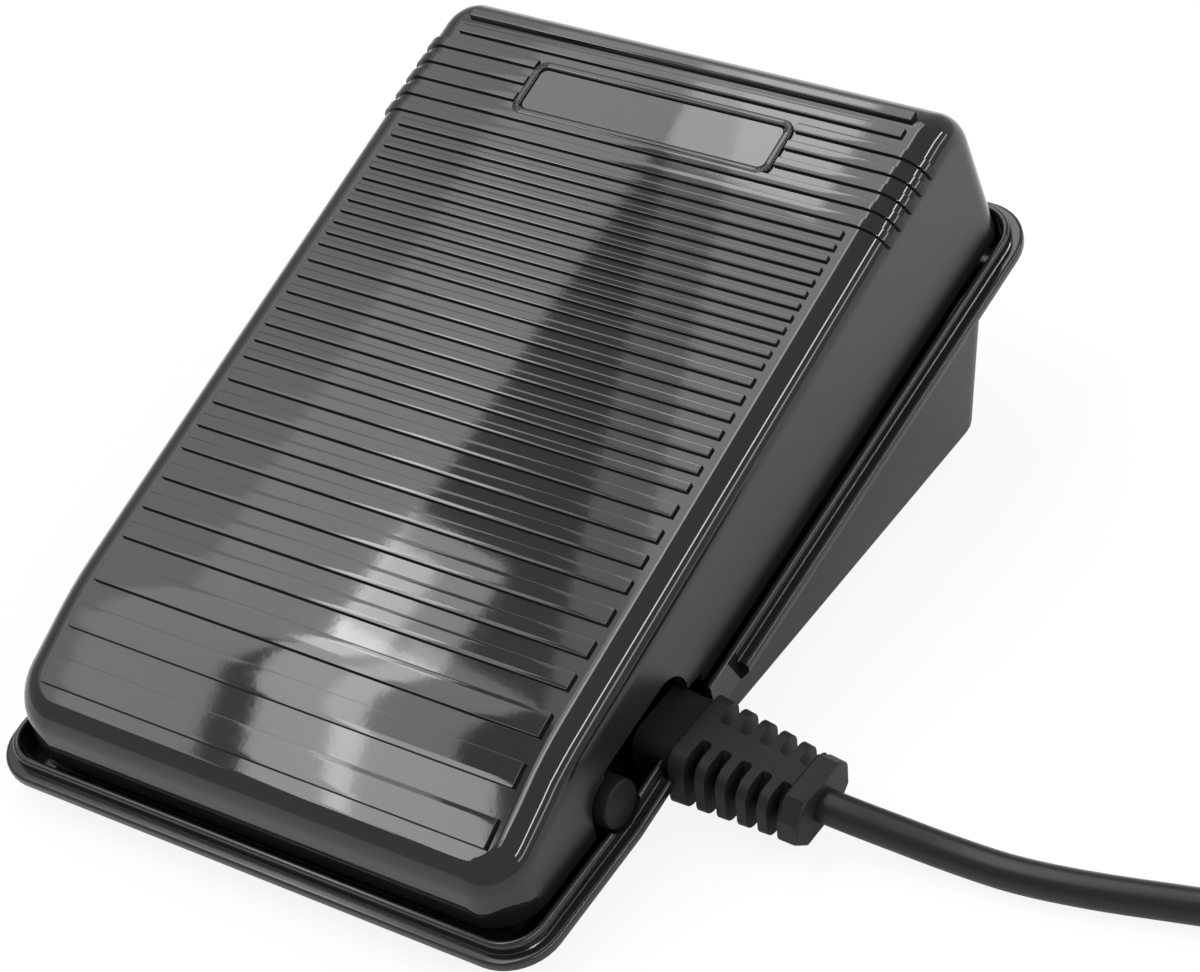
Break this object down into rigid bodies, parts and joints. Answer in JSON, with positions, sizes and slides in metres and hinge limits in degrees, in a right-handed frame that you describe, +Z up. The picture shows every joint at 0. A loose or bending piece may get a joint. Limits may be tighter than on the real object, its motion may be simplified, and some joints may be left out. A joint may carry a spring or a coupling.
{
  "type": "sewing machine foot pedal",
  "caption": "Wedge-shaped sewing machine foot pedal with a ribbed sprung treadle hinged near its low end, a rimmed base on rubber feet and a cord with a slotted strain relief.",
  "frame": {"origin": "centre of the underside of the box round the pedal without its cord, on the surface it stands on", "axes": "+X across the pedal toward the cord side, +Y from the low hinged end to the high end, +Z up"},
  "size_m": [0.3635, 0.1524, 0.0597],
  "materials": {
    "black_plastic": "gloss",
    "foot_rubber": "matte",
    "pin_plastic": "gloss",
    "relief_rubber": "matte",
    "inner_plastic": "matte",
    "screw_steel": "satin",
    "board_laminate": "satin",
    "track_carbon": "matte",
    "sink_aluminium": "satin",
    "capacitor_yellow": "gloss",
    "choke_winding": "satin",
    "capacitor_blue": "gloss",
    "resistor_tan": "satin",
    "terminal_green": "satin",
    "lead_blue": "satin",
    "plate_black": "gloss",
    "slider_white": "satin",
    "contact_brass": "polished",
    "cord_black": "satin",
    "tie_black": "matte"
  },
  "bodies": {
    "base": {"base_housing": "black_plastic", "rubber_feet": "foot_rubber", "hinge_pins": "pin_plastic", "strain_relief": "relief_rubber", "cord_clamp": "inner_plastic", "clamp_screws": "screw_steel", "circuit_board": "board_laminate", "board_screws": "screw_steel", "control_housing": "inner_plastic", "resistance_track": "track_carbon", "heat_sink": "sink_aluminium", "triac": "inner_plastic", "triac_screw": "screw_steel", "suppressor_capacitor": "capacitor_yellow", "suppressor_choke": "choke_winding", "timing_capacitor": "capacitor_blue", "trimmer": "capacitor_blue", "resistors": "resistor_tan", "terminal_block": "terminal_green", "terminal_screws": "screw_steel", "core_leads": "lead_blue", "return_springs": "screw_steel", "slider_spring": "screw_steel", "cord_lead": "cord_black", "cord_coil": "cord_black", "coil_tie": "tie_black", "cord_tail": "cord_black", "plug_body": "cord_black", "plug_pins": "contact_brass"},
    "treadle": {"treadle_cover": "black_plastic", "bare_plate": "plate_black", "pusher_pad": "foot_rubber"},
    "control_slider": {"slider": "slider_white", "wiper": "contact_brass"}
  },
  "joints": [
    {"name": "treadle_hinge", "type": "hinge", "parent": "base", "child": "treadle", "pos_m": [0, -0.046, 0.0128], "axis": [-1, 0, 0], "range_deg": [0, 2.5], "stiffness_Nm_per_rad": 25, "springref_deg": -1.72, "deforming": ["return_springs"]},
    {"name": "slider_slide", "type": "slide", "parent": "base", "child": "control_slider", "axis": [0, 0, -1], "range_m": [0, 0.0031], "deforming": ["slider_spring"]}
  ],
  "couplings": [
    {"joint": "slider_slide", "follows": "treadle_hinge", "m_per_rad": 0.07}
  ]
}
